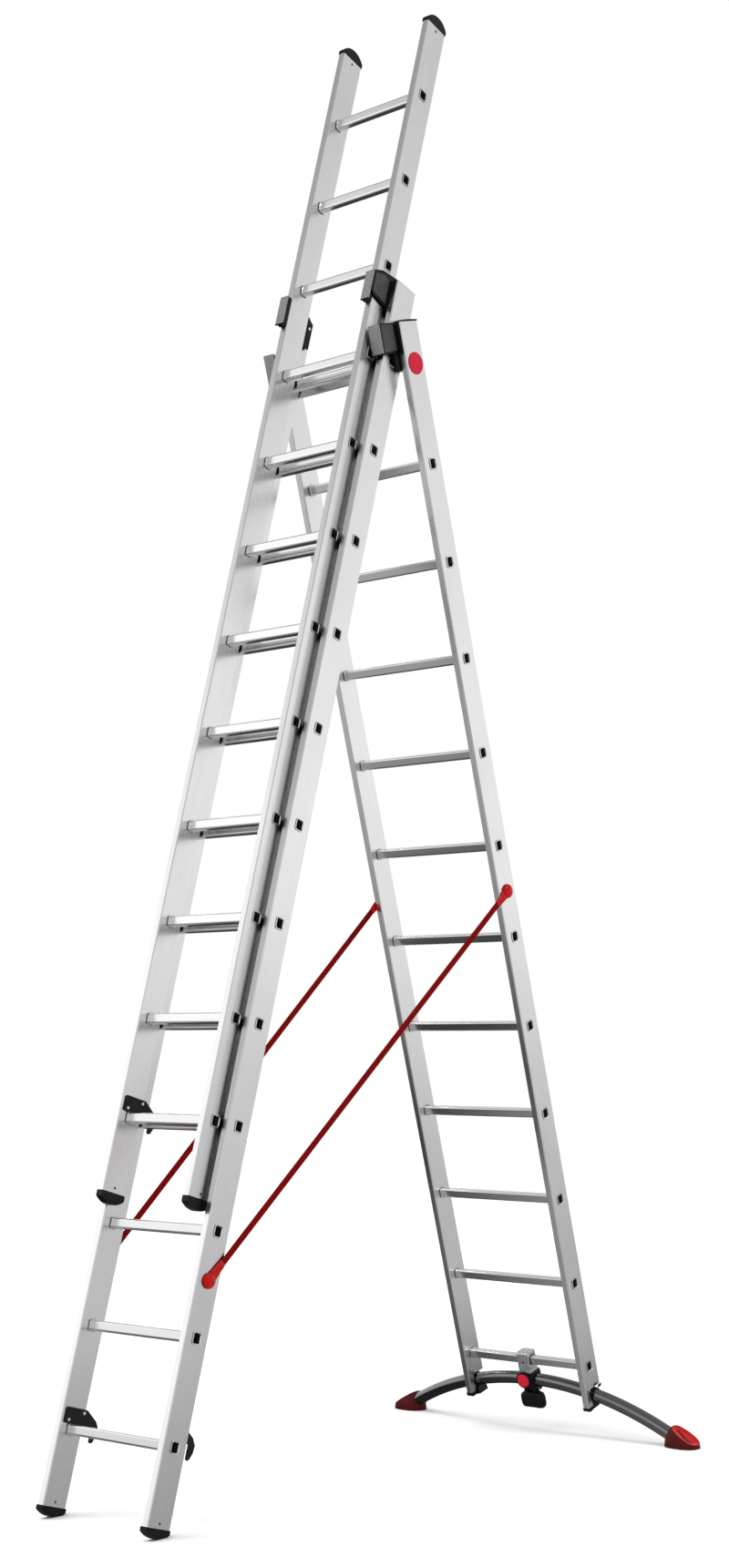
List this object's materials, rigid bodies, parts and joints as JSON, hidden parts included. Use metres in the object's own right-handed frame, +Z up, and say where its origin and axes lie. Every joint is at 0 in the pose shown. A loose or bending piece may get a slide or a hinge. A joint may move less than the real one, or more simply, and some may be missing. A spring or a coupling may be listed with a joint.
{
  "type": "extension ladder",
  "caption": "Three-section combination ladder standing as a stepladder, its narrow front section raised, with a curved levelling stabiliser and red spreader straps.",
  "frame": {"origin": "on the floor, at the bottom centre of the open ladder's bounding box", "axes": "+Z up, X along the rungs with +X the climber's right-hand side, the climbing side faces -Y and the rear section is towards +Y"},
  "size_m": [1.194, 2.0066, 4.2341],
  "materials": {
    "aluminium": "satin extruded",
    "dark_aluminium": "bright drawn tube, grey",
    "zinc_steel": "zinc-plated, dull",
    "cast_grey": "sand-cast, grey",
    "black_steel": "black coated",
    "black_plastic": "moulded",
    "black_rubber": "matte",
    "red_plastic": "moulded",
    "red_webbing": "woven"
  },
  "bodies": {
    "middle": {"middle_foot_left": "black_rubber", "middle_foot_right": "black_rubber", "middle_hook_left": "black_steel", "middle_hook_right": "black_steel", "middle_rung_01": "aluminium", "middle_rung_02": "aluminium", "middle_rung_03": "aluminium", "middle_rung_04": "aluminium", "middle_rung_05": "aluminium", "middle_rung_06": "aluminium", "middle_rung_07": "aluminium", "middle_rung_08": "aluminium", "middle_rung_09": "aluminium", "middle_rung_10": "aluminium", "middle_rung_11": "aluminium", "middle_rung_12": "aluminium", "middle_stile_left": "aluminium", "middle_stile_right": "aluminium", "strap_left": "red_webbing", "strap_right": "red_webbing", "upper_guide_left": "zinc_steel", "upper_guide_right": "zinc_steel"},
    "front": {"front_hook_left": "black_steel", "front_hook_right": "black_steel", "front_rung_01": "aluminium", "front_rung_02": "aluminium", "front_rung_03": "aluminium", "front_rung_04": "aluminium", "front_rung_05": "aluminium", "front_rung_06": "aluminium", "front_rung_07": "aluminium", "front_rung_08": "aluminium", "front_rung_09": "aluminium", "front_rung_10": "aluminium", "front_rung_11": "aluminium", "front_rung_12": "aluminium", "front_stile_left": "aluminium", "front_stile_right": "aluminium"},
    "rear": {"clamp_casting": "cast_grey", "clamp_shell": "black_plastic", "hinge_bracket_left": "zinc_steel", "hinge_bracket_right": "zinc_steel", "rear_rung_01": "aluminium", "rear_rung_02": "aluminium", "rear_rung_03": "aluminium", "rear_rung_04": "aluminium", "rear_rung_05": "aluminium", "rear_rung_06": "aluminium", "rear_rung_07": "aluminium", "rear_rung_08": "aluminium", "rear_rung_09": "aluminium", "rear_rung_10": "aluminium", "rear_rung_11": "aluminium", "rear_rung_12": "aluminium", "rear_stile_left": "aluminium", "rear_stile_right": "aluminium"},
    "stabiliser": {"stabiliser_bar": "dark_aluminium", "stabiliser_shoe_left": "red_plastic", "stabiliser_shoe_right": "red_plastic"},
    "pedal": {"pedal": "black_rubber"}
  },
  "joints": [
    {"name": "front_extension", "type": "slide", "parent": "middle", "child": "front", "axis": [0, 0.2781, 0.9606], "range_m": [-0.84, 0.84]},
    {"name": "rear_fold", "type": "hinge", "parent": "middle", "child": "rear", "pos_m": [0, -0.01789, 3.1872], "axis": [-1, 0, 0], "range_deg": [0, 31.5], "deforming": ["strap_left", "strap_right"]},
    {"name": "stabiliser_levelling", "type": "hinge", "parent": "rear", "child": "stabiliser", "pos_m": [0, 1.20697, -0.81482], "axis": [0, 0.9587, 0.2843], "range_deg": [-3, 3]},
    {"name": "pedal_press", "type": "hinge", "parent": "rear", "child": "pedal", "pos_m": [0, 0.92619, 0.13193], "axis": [1, 0, 0], "range_deg": [0, 20], "stiffness_Nm_per_rad": 2, "springref_deg": -2.86}
  ]
}
